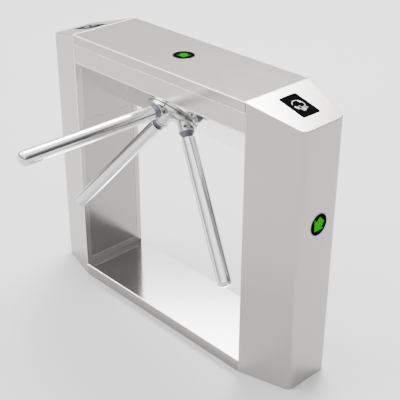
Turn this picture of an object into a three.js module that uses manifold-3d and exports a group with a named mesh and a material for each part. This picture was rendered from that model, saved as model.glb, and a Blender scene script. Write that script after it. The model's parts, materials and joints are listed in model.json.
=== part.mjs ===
// Bridge-type tripod turnstile: two columns, a beam with a 45 degree underside, and a
// three-arm tripod that turns on the beam. Millimetres, +Z up. The origin is on the floor
// at the centre of the footprint, +X runs along the beam and the arms reach towards -Y.
import * as THREE from "three";
import { mergeVertices } from "three/addons/utils/BufferGeometryUtils.js";
import Module from "manifold-3d";

const wasm = await Module();
wasm.setup();

// Driving dimensions
const LENGTH = 1200;
const DEPTH = 280;
const HEIGHT = 980;
const COLUMN_INNER_X = 412;
const COLUMN_END_HALF = 88.5;
const COLUMN_CORNER_R = 28;
const TOP_DROP = 51;
const LID_SKIRT = 35;
const SHEET = 2;
const SEAM = 0.5;
const FIT = 0.3;
const PLINTH_HEIGHT = 45;
const FLOOR_PLATE = 4;
const FASCIA_RECESS = 1.5;
const SLOPE_TOP_Z = 880;
const UNDERSIDE_Z = 700;
const DOOR_HALF = 114.5;
const DOOR_LOW = 69.5;
const DOOR_HIGH = 649.5;
const DOOR_GAP = 1;
const COVER_HIGH = 930;
const DOOR_FLANGE = 12;
const DOOR_AXIS_IN = 7;
const DOOR_AXIS_Y = 102;
const LOCK_Y = -92;
const LOCK_Z = 560;
const CABLE_WAY = [50, 110, 730, 920];
const ARROW_R = 38;
const END_ARROW_Z = 598;
const READER_LENGTH = 105.7;
const READER_WIDTH = 76;
const READER_OUT = 88;
const HUB_APEX = 41;
const HUB_R = 93;
const HUB_CLEAR = 1;
const HUB_RIM = 11;
const HUB_TOP = 16;
const HUB_CAP_R = 18;
const RIM_SCREW_TURN = 21;
const LUG_R = 24.5;
const LUG_RIM_R = 27;
const LUG_END = 103;
const CROSS_PIN_S = 89;
const SPIGOT_START = 80;
const TUBE_R = 24;
const TUBE_WALL = 1.5;
const TUBE_NECK_R = 15.5;
const TUBE_START = 124;
const COLLAR_END = 150;
const SPIGOT_R = 16;
const LUG_START = 40;
const ARM_END = 630;
const CAP_LENGTH = 15;
const SHAFT_R = 15;
const PINION_SHAFT_R = 5;
const SHAFT_FRONT = 12;
const GEAR_MODULE = 2;
const GEAR_TEETH = 40;
const PINION_TEETH = 20;
const PINION_X = 52;
const PINION_Y = -30;
const PAWL_X = 49.4;
const PAWL_Y = 63;
const TAIL_LENGTH = 34;
const HINGE_Y = 144;
const HINGE_R = 3.6;
const HINGE_HALF = 360;

// Planes of the mechanism, along the tripod axis
const PLATE_FRONT = -SHEET - FIT;
const PLATE_BACK = PLATE_FRONT - 8;
const HOUSING_BACK = -62;
const WHEEL_FRONT = -66;
const WHEEL_BACK = -76;
const PAWL_FRONT = WHEEL_FRONT - 1;
const PAWL_BACK = WHEEL_BACK + 1;
const PAWL_MIDDLE = (PAWL_FRONT + PAWL_BACK) / 2;
const GEAR_FRONT = -80;
const GEAR_BACK = -88;
const DAMPER_PLATE = -96;
const DAMPER_PLATE_BACK = DAMPER_PLATE - 6;
const DISC_FRONT = -108;
const DISC_BACK = DISC_FRONT - 2;
const SHAFT_BACK = -118;
const BEARING_R = 31;
const BEARING_LENGTH = 14;
const BORE_R = 36;
const plungerY = PAWL_Y + TAIL_LENGTH;

const halfL = LENGTH / 2;
const halfD = DEPTH / 2;
const lidLow = HEIGHT - LID_SKIRT;
const slopeReach = SLOPE_TOP_Z - UNDERSIDE_Z;
const slopeMidY = -halfD + slopeReach / 2;
const slopeMidZ = (SLOPE_TOP_Z + UNDERSIDE_Z) / 2;
const topTilt = Math.atan2(TOP_DROP, halfL - COLUMN_INNER_X);
const deg = Math.PI / 180;

// Finishes
const finish = (color, roughness, metalness) =>
  new THREE.MeshStandardMaterial({ color, roughness, metalness });
const brushed = finish(0xc4c1be, 0.35, 1);
const polished = finish(0xd6d6d6, 0.12, 1);
const chrome = finish(0xe2e2e2, 0.08, 1);
const slate = finish(0x6c6c76, 0.45, 0.4);
const darkSteel = finish(0x77777a, 0.4, 1);
const zinc = finish(0xb9bcc0, 0.4, 1);
const blackGlass = finish(0x0c0c0e, 0.1, 0);
const blackPlastic = finish(0x1c1c1f, 0.5, 0);
const brass = finish(0xb8975a, 0.35, 1);
const boardGreen = finish(0x1f5a3a, 0.5, 0);

// Solids
function toSolid(geometry) {
  const bare = geometry.clone();
  bare.deleteAttribute("normal");
  bare.deleteAttribute("uv");
  const merged = mergeVertices(bare, 1e-4);
  const verts = Float32Array.from(merged.attributes.position.array);
  const tris = Uint32Array.from(merged.index.array);
  if (signedVolume(verts, tris) < 0) {
    flip(tris);
  }
  return new wasm.Manifold(new wasm.Mesh({ numProp: 3, vertProperties: verts, triVerts: tris }));
}

function signedVolume(verts, tris) {
  let six = 0;
  const corner = (i) => new THREE.Vector3().fromArray(verts, tris[i] * 3);
  for (let i = 0; i < tris.length; i += 3) {
    six += corner(i).dot(corner(i + 1).cross(corner(i + 2)));
  }
  return six / 6;
}

function flip(tris) {
  for (let i = 0; i < tris.length; i += 3) {
    [tris[i + 1], tris[i + 2]] = [tris[i + 2], tris[i + 1]];
  }
}

function toGeometry(solid) {
  const mesh = solid.getMesh();
  const geometry = new THREE.BufferGeometry();
  geometry.setAttribute("position", new THREE.BufferAttribute(mesh.vertProperties, 3));
  geometry.setIndex(new THREE.BufferAttribute(mesh.triVerts, 1));
  geometry.computeVertexNormals();
  return geometry;
}

const join = (...solids) => solids.reduce((sum, solid) => sum.add(solid));
const cut = (body, ...tools) => tools.reduce((left, tool) => left.subtract(tool), body);

// Primitive shapes, all as solids
function box(x0, x1, y0, y1, z0, z1) {
  const geometry = new THREE.BoxGeometry(x1 - x0, y1 - y0, z1 - z0);
  geometry.translate((x0 + x1) / 2, (y0 + y1) / 2, (z0 + z1) / 2);
  return toSolid(geometry);
}

// A prism of an XY outline between two heights
function prism(points, z0, z1) {
  const shape = new THREE.Shape(points.map(([x, y]) => new THREE.Vector2(x, y)));
  const geometry = new THREE.ExtrudeGeometry(shape, { depth: z1 - z0, bevelEnabled: false });
  geometry.translate(0, 0, z0);
  return toSolid(geometry);
}

// A prism of a YZ outline between two X places
function prismX(points, x0, x1) {
  const matrix = new THREE.Matrix4().makeBasis(
    new THREE.Vector3(0, 1, 0), new THREE.Vector3(0, 0, 1), new THREE.Vector3(1, 0, 0));
  return prism(points, x0, x1).transform(matrix.elements);
}

// A prism of an XZ outline between two Y places
function prismY(points, y0, y1) {
  const matrix = new THREE.Matrix4().makeBasis(
    new THREE.Vector3(1, 0, 0), new THREE.Vector3(0, 0, 1), new THREE.Vector3(0, -1, 0));
  return prism(points, -y1, -y0).transform(matrix.elements);
}

// A turned shape about Z from (radius, height) points that start and end on the axis
function turned(profile, segments = 32) {
  const points = profile.map(([r, z]) => new THREE.Vector2(r, z));
  const geometry = new THREE.LatheGeometry(points, segments);
  geometry.rotateX(90 * deg);
  return toSolid(geometry);
}

const rod = (r, z0, z1, segments = 32) => turned([[0, z0], [r, z0], [r, z1], [0, z1]], segments);
const ring = (r0, r1, z0, z1, segments = 32) =>
  cut(rod(r1, z0, z1, segments), rod(r0, z0 - 1, z1 + 1, segments));

function moved(solid, x, y, z) {
  return solid.translate([x, y, z]);
}

const alongX = (solid) => solid.transform(new THREE.Matrix4().makeRotationY(90 * deg).elements);

function arc(cx, cy, r, from, to, steps) {
  const points = [];
  for (let i = 0; i <= steps; i++) {
    const angle = (from + ((to - from) * i) / steps) * deg;
    points.push([cx + r * Math.cos(angle), cy + r * Math.sin(angle)]);
  }
  return points;
}

function roundedRectangle(halfX, halfY, r) {
  return [
    ...arc(halfX - r, halfY - r, r, 0, 90, 5), ...arc(-halfX + r, halfY - r, r, 90, 180, 5),
    ...arc(-halfX + r, -halfY + r, r, 180, 270, 5), ...arc(halfX - r, -halfY + r, r, 270, 360, 5),
  ];
}

// The scene graph
const turnstile = new THREE.Group();
turnstile.name = "visitor_counter_turnstile";

function place(name, solid, material, parent = turnstile) {
  const mesh = new THREE.Mesh(toGeometry(solid), material);
  mesh.name = name;
  parent.add(mesh);
}

// Plan outline of the +X column, moved inwards by inset on every side
function columnOutline(inset) {
  const taper = Math.atan2(halfD - COLUMN_END_HALF, halfL - COLUMN_INNER_X);
  const endX = halfL - inset;
  const innerX = COLUMN_INNER_X + inset;
  const sideY = (x) => halfD - (x - COLUMN_INNER_X) * Math.tan(taper) - inset / Math.cos(taper);
  const r = COLUMN_CORNER_R - inset;
  const centreY = sideY(endX - r) - r / Math.cos(taper);
  const upper = arc(endX - r, centreY, r, 0, 90 - taper / deg, 6);
  const lower = upper.map(([x, y]) => [x, -y]).reverse();
  return { innerX, innerY: sideY(innerX), upper, lower };
}

function columnPlan(inset) {
  const { innerX, innerY, upper, lower } = columnOutline(inset);
  return [[innerX, -innerY], ...lower, ...upper, [innerX, innerY]];
}

// XZ outline of the +X column, its slanted top lowered by drop
function columnProfile(bottom, drop) {
  const reach = halfL + 10;
  const fall = (TOP_DROP * (reach - COLUMN_INNER_X)) / (halfL - COLUMN_INNER_X);
  const high = HEIGHT - drop;
  const start = COLUMN_INNER_X - 10;
  return [[start, bottom], [reach, bottom], [reach, high - fall], [COLUMN_INNER_X, high], [start, high]];
}

const mirrorX = (solid) => solid.mirror([1, 0, 0]);
const sides = [["right", 1], ["left", -1]];
const onSide = (solid, side) => (side > 0 ? solid : mirrorX(solid));

// Column shell: floor plate, walls, slanted top and a door opening in the inner face
function columnShell() {
  const solid = (inset, bottom, drop) =>
    prism(columnPlan(inset), 0, HEIGHT + 5).intersect(
      prismY(columnProfile(bottom, drop), -halfD - 5, halfD + 5));
  const outer = solid(0, 0, 0);
  const inner = solid(SHEET, FLOOR_PLATE, SHEET / Math.cos(topTilt));
  const door = DOOR_HALF + DOOR_GAP;
  const x0 = COLUMN_INNER_X - 5;
  const x1 = COLUMN_INNER_X + SHEET + 3;
  const opening = box(x0, x1, -door, door, DOOR_LOW - DOOR_GAP, COVER_HIGH + DOOR_GAP);
  const arrowHole = moved(alongX(rod(ARROW_R + FIT, -10, 10, 32)), halfL, 0, END_ARROW_Z);
  const cableHole = box(470, 550, -30, 30, -1, FLOOR_PLATE + 1);
  const anchors = [[450, -90], [450, 90], [560, -55], [560, 55]].map(([x, y]) =>
    moved(rod(7, -1, FLOOR_PLATE + 1, 16), x, y, 0));
  const wallIn = COLUMN_INNER_X + SHEET;
  const shelf = (z) => cut(
    join(box(wallIn + FIT, wallIn + 28, DOOR_AXIS_Y - 16, DOOR_AXIS_Y + 18, z, z + 4),
      box(wallIn - 0.5, wallIn + 6, door + 0.5, DOOR_AXIS_Y + 18, z, z + 4)),
    moved(rod(3.2, z - 1, z + 5, 16), COLUMN_INNER_X + DOOR_AXIS_IN, DOOR_AXIS_Y, 0));
  const windowHole = toTop(prism(
    roundedRectangle(READER_LENGTH / 2 + FIT, READER_WIDTH / 2 + FIT, 8), -10, 10));
  const walls = cut(outer, inner, opening, arrowHole, windowHole, cableHole, ...anchors);
  return join(walls, shelf(DOOR_LOW - DOOR_GAP - 6), shelf(DOOR_HIGH + DOOR_GAP + 2));
}

// Door: flat sheet with return flanges at top, bottom and lock side
function accessDoor() {
  const x0 = COLUMN_INNER_X;
  const x1 = x0 + SHEET;
  const deep = x1 + DOOR_FLANGE;
  const sheet = box(x0, x1, -DOOR_HALF, DOOR_HALF, DOOR_LOW, DOOR_HIGH);
  const bottom = box(x0 + 1, deep, -DOOR_HALF, DOOR_HALF - 1, DOOR_LOW, DOOR_LOW + SHEET);
  const top = box(x0 + 1, deep, -DOOR_HALF, DOOR_HALF - 1, DOOR_HIGH - SHEET, DOOR_HIGH);
  const lockSide = box(x0 + 1, deep, -DOOR_HALF, -DOOR_HALF + SHEET, DOOR_LOW, DOOR_HIGH);
  const rodHole = moved(rod(3.2, DOOR_LOW - 5, DOOR_HIGH + 5, 16), x0 + DOOR_AXIS_IN, DOOR_AXIS_Y, 0);
  const lockHole = moved(alongX(rod(9.3, -5, 10, 24)), x0, LOCK_Y, LOCK_Z);
  return cut(join(sheet, bottom, top, lockSide), rodHole, lockHole);
}

// Fixed cover above the door, with side and top flanges and the cable way
function upperCover() {
  const x0 = COLUMN_INNER_X;
  const low = DOOR_HIGH + DOOR_GAP;
  const deep = x0 + SHEET + DOOR_FLANGE;
  const sheet = box(x0, x0 + SHEET, -DOOR_HALF, DOOR_HALF, low, COVER_HIGH);
  const top = box(x0 + 1, deep, -DOOR_HALF, DOOR_HALF, COVER_HIGH - SHEET, COVER_HIGH);
  const flange = (y) => box(x0 + 1, deep, y, y + SHEET, low + 15, COVER_HIGH);
  const cableWay = box(x0 - 5, deep + 5, ...CABLE_WAY);
  return cut(join(sheet, top, flange(-DOOR_HALF), flange(DOOR_HALF - SHEET)), cableWay);
}

function doorRod() {
  return moved(rod(3, DOOR_LOW - 8, DOOR_HIGH + 8, 16), COLUMN_INNER_X + DOOR_AXIS_IN, DOOR_AXIS_Y, 0);
}

// Cam lock: round barrel through the door and a cam on its inner end
function doorLock() {
  const barrel = rod(9, 0.5, 20, 24);
  const face = rod(12, -2, -FIT, 24);
  const neck = rod(9, -1, 1, 24);
  const slot = box(-6, 6, -1, 1, -3, -1);
  const cam = box(-8, 8, -8, 36, 20, 23);
  const lock = cut(join(face, neck, barrel, cam), slot);
  const turn = new THREE.Matrix4().makeBasis(
    new THREE.Vector3(0, 1, 0), new THREE.Vector3(0, 0, 1), new THREE.Vector3(1, 0, 0));
  return moved(lock.transform(turn.elements), COLUMN_INNER_X, LOCK_Y, LOCK_Z);
}

// Beam: folded trough with a sloped underside and joining flanges at both ends
function beamOutline(inset) {
  const front = -halfD + FASCIA_RECESS + inset;
  const back = halfD - inset;
  const top = HEIGHT - LID_SKIRT - SEAM;
  const slopeSum = -halfD + SLOPE_TOP_Z + inset * Math.SQRT2;
  const low = UNDERSIDE_Z + inset;
  return { front, back, top, low, slopeSum };
}

function beamHousing() {
  const section = (inset, rise) => {
    const { front, back, top, low, slopeSum } = beamOutline(inset);
    return [[front, top + rise], [front, slopeSum - front], [slopeSum - low, low], [back, low],
      [back, top + rise]];
  };
  const end = COLUMN_INNER_X - SEAM;
  const outer = prismX(section(0, 0), -end, end);
  const inner = prismX(section(SHEET, 5), -end + SHEET, end - SHEET);
  const cableWay = box(-end - 5, end + 5, ...CABLE_WAY);
  const shaftHole = toSlope(rod(BORE_R, -20, 20, 40));
  return cut(outer, inner, cableWay, shaftHole);
}

// Lid over the beam, with skirts all round and a hole for the lamp
function topLid() {
  const end = COLUMN_INNER_X - SEAM;
  const outer = box(-end, end, -halfD, halfD, lidLow, HEIGHT);
  const inner = box(-end + SHEET, end - SHEET, -halfD + SHEET, halfD - SHEET, lidLow - 5, HEIGHT - SHEET);
  return cut(outer, inner, moved(rod(ARROW_R + FIT, -10, 10, 32), 0, 0, HEIGHT));
}

// Moves a shape made round the reader's centre onto the +X slanted top
function toTop(solid) {
  const matrix = new THREE.Matrix4().makeRotationY(topTilt);
  matrix.setPosition(
    COLUMN_INNER_X + READER_OUT * Math.cos(topTilt), 0, HEIGHT - READER_OUT * Math.sin(topTilt));
  return solid.transform(matrix.elements);
}

// Moves a shape made round the tripod axis, Z outwards, onto the sloped underside
function toSlope(solid) {
  const matrix = new THREE.Matrix4().makeRotationX(135 * deg);
  matrix.setPosition(0, slopeMidY, slopeMidZ);
  return solid.transform(matrix.elements);
}

// Plinth: low folded base with three floor straps
function basePlinth() {
  const end = COLUMN_INNER_X - SEAM;
  const outer = box(-end, end, -halfD, halfD, 0, PLINTH_HEIGHT);
  const inner = box(-end + SHEET, end - SHEET, -halfD + SHEET, halfD - SHEET, -5, PLINTH_HEIGHT - SHEET);
  const strap = (x) => cut(
    box(x - 25, x + 25, -halfD + 1, halfD - 1, 0, FLOOR_PLATE),
    moved(rod(7, -1, FLOOR_PLATE + 1, 16), x, -95, 0), moved(rod(7, -1, FLOOR_PLATE + 1, 16), x, 95, 0));
  return join(cut(outer, inner), strap(-370), strap(0), strap(370));
}

// Round direction lamp: black lens with its housing behind
const lamp = () => turned([[0, -18], [32, -18], [32, -4], [ARROW_R, -4], [ARROW_R, 0.6], [0, 0.6]], 32);

// Lid hinge: knuckles on two leaves and one pin, along X
function hingeLeaf(first, leafBox) {
  const step = (2 * HINGE_HALF) / 7;
  const knuckles = [];
  for (let i = first; i < 7; i += 2) {
    const x0 = -HINGE_HALF + i * step + FIT;
    const x1 = x0 + step - 2 * FIT;
    const barrel = moved(alongX(rod(HINGE_R, x0, x1, 12)), 0, HINGE_Y, lidLow);
    knuckles.push(barrel, leafBox(x0, x1));
  }
  return knuckles;
}

function hingeOnBeam() {
  const back = halfD + FIT;
  const leaf = box(-HINGE_HALF, HINGE_HALF, back, back + 1.5, lidLow - 30, lidLow - 6);
  const strip = (x0, x1) => box(x0, x1, back, back + 1.5, lidLow - 8, lidLow - 1);
  const bore = moved(alongX(rod(1.7, -HINGE_HALF - 5, HINGE_HALF + 5, 12)), 0, HINGE_Y, lidLow);
  return cut(join(leaf, ...hingeLeaf(0, strip)), bore);
}

function hingeOnLid() {
  const back = halfD + FIT;
  const leaf = box(-HINGE_HALF, HINGE_HALF, back, back + 1.5, lidLow + 6, lidLow + 30);
  const strip = (x0, x1) => box(x0, x1, back, back + 1.5, lidLow + 1, lidLow + 8);
  const bore = moved(alongX(rod(1.7, -HINGE_HALF - 5, HINGE_HALF + 5, 12)), 0, HINGE_Y, lidLow);
  return cut(join(leaf, ...hingeLeaf(1, strip)), bore);
}

const hingePin = () =>
  moved(alongX(rod(1.6, -HINGE_HALF, HINGE_HALF, 12)), 0, HINGE_Y, lidLow);

// Cabinet
place("base_plinth", basePlinth(), polished);
place("beam_housing", beamHousing(), brushed);
place("top_lid", topLid(), brushed);
place("lid_hinge_fixed_leaf", hingeOnBeam(), darkSteel);
place("lid_hinge_moving_leaf", hingeOnLid(), darkSteel);
place("lid_hinge_pin", hingePin(), darkSteel);
place("top_arrow_lamp", moved(lamp(), 0, 0, HEIGHT), blackGlass);
for (const [name, side] of sides) {
  place(`${name}_column_shell`, onSide(columnShell(), side), brushed);
  place(`${name}_access_door`, onSide(accessDoor(), side), brushed);
  place(`${name}_upper_cover`, onSide(upperCover(), side), brushed);
  place(`${name}_door_rod`, onSide(doorRod(), side), darkSteel);
  place(`${name}_door_lock`, onSide(doorLock(), side), chrome);
  place(`${name}_arrow_lamp`, onSide(moved(alongX(lamp()), halfL, 0, END_ARROW_Z), side), blackGlass);
  const pane = prism(roundedRectangle(READER_LENGTH / 2, READER_WIDTH / 2, 7.7), -4, 0.5);
  place(`${name}_reader_window`, onSide(toTop(pane), side), blackGlass);
  const module = prism(roundedRectangle(48, 33, 4), -24, -4.3);
  place(`${name}_reader_module`, onSide(toTop(module), side), blackPlastic);
}

// Frame of the mechanism: X along the beam, Y up the slope, Z outwards along the tripod axis
const slope = new THREE.Group();
slope.rotation.x = 135 * deg;
slope.position.set(0, slopeMidY, slopeMidZ);
turnstile.add(slope);


// Plate on the inside of the slope, with the pillars, pawl posts and solenoid posts
function mechanismPlate() {
  const plate = box(-130, 130, -95, 108, PLATE_BACK, PLATE_FRONT);
  const pillars = [[-32, 92], [32, 92], [-92, -80], [92, -80]].map(([x, y]) =>
    moved(rod(7, DAMPER_PLATE + FIT, PLATE_BACK + 1, 16), x, y, 0));
  const posts = [-PAWL_X, PAWL_X].map((x) => moved(rod(5, WHEEL_BACK - 2, PLATE_BACK + 1, 16), x, PAWL_Y, 0));
  return cut(join(plate, ...pillars, ...posts), rod(BORE_R, -20, 5, 40));
}

function bearingHousing() {
  const front = PLATE_BACK - FIT;
  const flange = rod(52, front - 8, front, 36);
  const barrel = rod(42, HOUSING_BACK, front, 36);
  return cut(join(flange, barrel), rod(BEARING_R + FIT, HOUSING_BACK - 1, 0, 36));
}

// Outline of a gear with straight-flanked teeth
function gearOutline(teeth, turn) {
  const pitch = (GEAR_MODULE * teeth) / 2;
  const points = [];
  const marks = [[-0.29, -1.15], [-0.14, 0.92], [0.14, 0.92], [0.29, -1.15]];
  for (let i = 0; i < teeth; i++) {
    for (const [share, height] of marks) {
      const angle = turn + ((i + share) * 2 * Math.PI) / teeth;
      const r = pitch + height * GEAR_MODULE;
      points.push([r * Math.cos(angle), r * Math.sin(angle)]);
    }
  }
  return points;
}

function indexWheel() {
  const teeth = [90, 210, 330].map((angle) => {
    const tooth = box(30, 55, -5.5, 5.5, WHEEL_BACK, WHEEL_FRONT);
    return tooth.transform(new THREE.Matrix4().makeRotationZ(angle * deg).elements);
  });
  const bore = rod(SHAFT_R + FIT, WHEEL_BACK - 5, WHEEL_FRONT + 5);
  return cut(join(rod(42, WHEEL_BACK, WHEEL_FRONT, 40), ...teeth), bore);
}

function slottedDisc() {
  const slots = [];
  for (let i = 0; i < 6; i++) {
    const slot = box(22, 27, -2, 2, DISC_BACK - 2, DISC_FRONT + 2);
    slots.push(slot.transform(new THREE.Matrix4().makeRotationZ((30 + 60 * i) * deg).elements));
  }
  return cut(ring(SHAFT_R + FIT, 31, DISC_BACK, DISC_FRONT, 36), ...slots);
}

// Pawl: nose beside the index wheel, tail with a slot for the plunger's pin
function pawl() {
  const boss = moved(rod(10, PAWL_BACK, PAWL_FRONT, 24), PAWL_X, PAWL_Y, 0);
  const lever = prism([[PAWL_X - 7, PAWL_Y + 2], [66, 22], [57, 17.5], [57.5, 9], [71, 12.5],
    [PAWL_X + 9, PAWL_Y + 2]].reverse(), PAWL_BACK, PAWL_FRONT);
  const tail = box(PAWL_X - 6, PAWL_X + 6, PAWL_Y, plungerY + 7, PAWL_BACK, PAWL_FRONT);
  const slot = box(PAWL_X - 2.7, PAWL_X + 2.7, plungerY - 5, plungerY + 4, PAWL_BACK - 5, PAWL_FRONT + 5);
  const bore = moved(rod(5.3, PAWL_BACK - 5, PAWL_FRONT + 5, 24), PAWL_X, PAWL_Y, 0);
  return cut(join(boss, lever, tail), slot, bore);
}

// Plunger: round core with a fork and a cross pin round the pawl's tail
function plunger() {
  const y = plungerY;
  const core = moved(alongX(rod(8, 70, 118, 24)), 0, y, PAWL_MIDDLE);
  const fork = box(PAWL_X - 5, 72, y - 5, y + 5, PAWL_BACK - 4, PAWL_FRONT + 4);
  const gap = box(PAWL_X - 20, 66.5, y - 10, y + 10, PAWL_BACK - 0.6, PAWL_FRONT + 0.6);
  const pin = moved(rod(2, PAWL_BACK - 3, PAWL_FRONT + 3, 12), PAWL_X, y, 0);
  return join(cut(fork, gap), pin, core);
}

function solenoid() {
  const y = plungerY;
  const body = box(90, 128, y - 18, y + 11, PAWL_MIDDLE - 17, PAWL_MIDDLE + 17);
  const leg = box(98, 120, y - 12, y + 8, PAWL_MIDDLE + 15, PLATE_BACK - FIT);
  const bore = moved(alongX(rod(8.3, 80, 140, 24)), 0, y, PAWL_MIDDLE);
  return cut(join(body, leg), bore);
}

function damperPlate() {
  const outline = [[-102, -90], [102, -90], [102, -68], [80, 0], [42, 102], [-42, 102], [-102, -68]];
  const plate = prism(outline, DAMPER_PLATE_BACK, DAMPER_PLATE);
  const hole = (r, steps) => rod(r, DAMPER_PLATE_BACK - 5, DAMPER_PLATE + 5, steps);
  return cut(plate, hole(SHAFT_R + 3, 32), moved(hole(PINION_SHAFT_R + 0.4, 16), PINION_X, PINION_Y, 0));
}

// Pinion at rest turned so that one of its gaps faces the wheel's tooth on the centre line
function damperPinion() {
  const angle = Math.atan2(PINION_Y, PINION_X);
  const outline = gearOutline(PINION_TEETH, angle + Math.PI + Math.PI / PINION_TEETH);
  const shaft = rod(PINION_SHAFT_R, DISC_BACK - 2, GEAR_FRONT + 1, 16);
  return moved(join(prism(outline, GEAR_BACK, GEAR_FRONT), shaft), PINION_X, PINION_Y, 0);
}

function damperGear() {
  const angle = Math.atan2(PINION_Y, PINION_X);
  const wheel = prism(gearOutline(GEAR_TEETH, angle), GEAR_BACK, GEAR_FRONT);
  return cut(wheel, rod(SHAFT_R + FIT, GEAR_BACK - 5, GEAR_FRONT + 5));
}

function damperBody() {
  const face = DAMPER_PLATE_BACK - FIT;
  const can = rod(21, -148, face, 32);
  const foot = box(-27, 27, -9, 9, face - 4, face);
  const bore = rod(PINION_SHAFT_R + 0.4, DISC_BACK - 6, face + 5, 16);
  return moved(cut(join(can, foot), bore), PINION_X, PINION_Y, 0);
}

function counterSensor() {
  const low = 24;
  const block = box(-9, 9, low, 48, SHAFT_BACK - 2, DAMPER_PLATE_BACK - FIT);
  return cut(block, box(-10, 10, low - 1, 35, DISC_BACK - 4, DISC_FRONT + 2.5));
}

place("mechanism_plate", mechanismPlate(), zinc, slope);
place("bearing_housing", bearingHousing(), zinc, slope);
for (const [name, front] of [["front", PLATE_BACK - 3.7], ["rear", HOUSING_BACK + 18]]) {
  const race = ring(SHAFT_R + FIT, BEARING_R, front - BEARING_LENGTH, front, 36);
  place(`${name}_bearing`, race, darkSteel, slope);
}
place("main_shaft", rod(SHAFT_R, SHAFT_BACK, SHAFT_FRONT), darkSteel, slope);
place("index_wheel", indexWheel(), darkSteel, slope);
place("slotted_disc", slottedDisc(), zinc, slope);
place("damper_gear", damperGear(), brass, slope);
place("damper_pinion", damperPinion(), brass, slope);
place("damper_plate", damperPlate(), zinc, slope);
place("damper_body", damperBody(), blackPlastic, slope);
place("counter_sensor", counterSensor(), blackPlastic, slope);
for (const [name, side] of sides) {
  place(`${name}_pawl`, onSide(pawl(), side), darkSteel, slope);
  place(`${name}_plunger`, onSide(plunger(), side), zinc, slope);
  place(`${name}_solenoid`, onSide(solenoid(), side), blackPlastic, slope);
}

// An arm's own frame: origin at the cone's apex, Z along the arm, X across the hub's turn
function armMatrix(turn) {
  const matrix = new THREE.Matrix4().makeRotationZ(-turn * deg);
  matrix.multiply(new THREE.Matrix4().makeTranslation(0, 0, -HUB_APEX));
  return matrix.multiply(new THREE.Matrix4().makeRotationX(-45 * deg));
}

const armTurns = [["a", 0], ["b", 120], ["c", 240]];

// Hub: wide flat disc with a shallow dome, one round lug for each arm and rim screw holes
function tripodHub() {
  const core = turned([[0, HUB_CLEAR], [HUB_R - 2, HUB_CLEAR], [HUB_R, HUB_CLEAR + 2],
    [HUB_R, HUB_RIM - 1], [HUB_R - 1, HUB_RIM], [HUB_TOP * 3, HUB_RIM + 1], [HUB_TOP * 2, HUB_TOP],
    [0, HUB_TOP]], 48);
  const above = box(-200, 200, -200, 200, HUB_CLEAR, 200);
  let hub = core;
  for (const [, turn] of armTurns) {
    const lug = turned([[0, LUG_START], [LUG_R, LUG_START], [LUG_R, LUG_END - 6], [LUG_RIM_R, LUG_END - 5.5],
      [LUG_RIM_R, LUG_END - 1], [LUG_RIM_R - 1, LUG_END], [0, LUG_END]], 24);
    hub = hub.add(lug.transform(armMatrix(turn).elements).intersect(above));
  }
  for (const [, turn] of armTurns) {
    const seat = rod(SPIGOT_R + FIT, SPIGOT_START, LUG_END + 10, 24);
    const socket = join(seat, alongCross(rod(5.2, -40, 40, 12)));
    hub = hub.subtract(socket.transform(armMatrix(turn).elements));
    for (const lean of [-RIM_SCREW_TURN, RIM_SCREW_TURN]) {
      const hole = moved(alongX(rod(3.3, HUB_R - 9, HUB_R + 5, 12)), 0, 0, (HUB_CLEAR + HUB_RIM) / 2);
      const around = new THREE.Matrix4().makeRotationZ((90 - turn - lean) * deg);
      hub = hub.subtract(hole.transform(around.elements));
    }
  }
  return cut(hub, rod(SHAFT_R + FIT, 0, SHAFT_FRONT + FIT));
}

const alongCross = (solid) => moved(alongX(solid), 0, 0, CROSS_PIN_S);

function hubCap() {
  const base = HUB_TOP + FIT;
  const low = base + 1.2;
  return turned([[0, base], [HUB_CAP_R, base], [HUB_CAP_R, low], [HUB_CAP_R - 4, low + 2], [0, low + 3]], 32);
}

// Collar: spigot in the lug, dark cone between lug and tube, spigot in the tube
function armCollar() {
  const start = SPIGOT_START + 1;
  const face = LUG_END + FIT;
  const cone = [[LUG_RIM_R - 2, face], [LUG_RIM_R - 1, face + 2], [TUBE_NECK_R + 1, TUBE_START - 2]];
  const profile = [[0, start], [SPIGOT_R, start], [SPIGOT_R, face], ...cone, [TUBE_NECK_R, TUBE_START - 1],
    [TUBE_NECK_R, COLLAR_END], [0, COLLAR_END]];
  return cut(turned(profile, 24), alongCross(rod(5.2, -40, 40, 12)));
}

// Tube with a closing ring at the hub end, which the collar's neck passes through
function armTube() {
  const bore = TUBE_R - TUBE_WALL;
  const outer = rod(TUBE_R, TUBE_START, ARM_END - CAP_LENGTH, 24);
  return cut(outer, rod(bore, TUBE_START + 3, ARM_END, 24), rod(TUBE_NECK_R + FIT, 0, ARM_END, 24));
}

function armEndCap() {
  const start = ARM_END - CAP_LENGTH + FIT;
  const dome = arc(0, 0, 1, 0, 90, 4).map(([c, s]) => [c * TUBE_R, start + s * (ARM_END - start)]);
  const bore = TUBE_R - TUBE_WALL - FIT;
  return turned([[0, start - 22], [bore, start - 22], [bore, start], ...dome.slice(0, -1), [0, ARM_END]], 24);
}

// Cross pin through lug and collar, with a hexagon socket in each end
function crossPin() {
  const socket = rod(2.8, 14, 22, 6);
  const pin = cut(rod(5, -19, 19, 12), socket, socket.mirror([0, 0, 1]));
  return alongCross(pin);
}

place("tripod_hub", tripodHub(), polished, slope);
place("hub_cap", hubCap(), chrome, slope);
for (const [letter, turn] of armTurns) {
  const arm = new THREE.Group();
  arm.applyMatrix4(armMatrix(turn));
  slope.add(arm);
  place(`arm_${letter}_collar`, armCollar(), slate, arm);
  place(`arm_${letter}_cross_pin`, crossPin(), darkSteel, arm);
  place(`arm_${letter}_tube`, armTube(), chrome, arm);
  place(`arm_${letter}_end_cap`, armEndCap(), chrome, arm);
}

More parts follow.
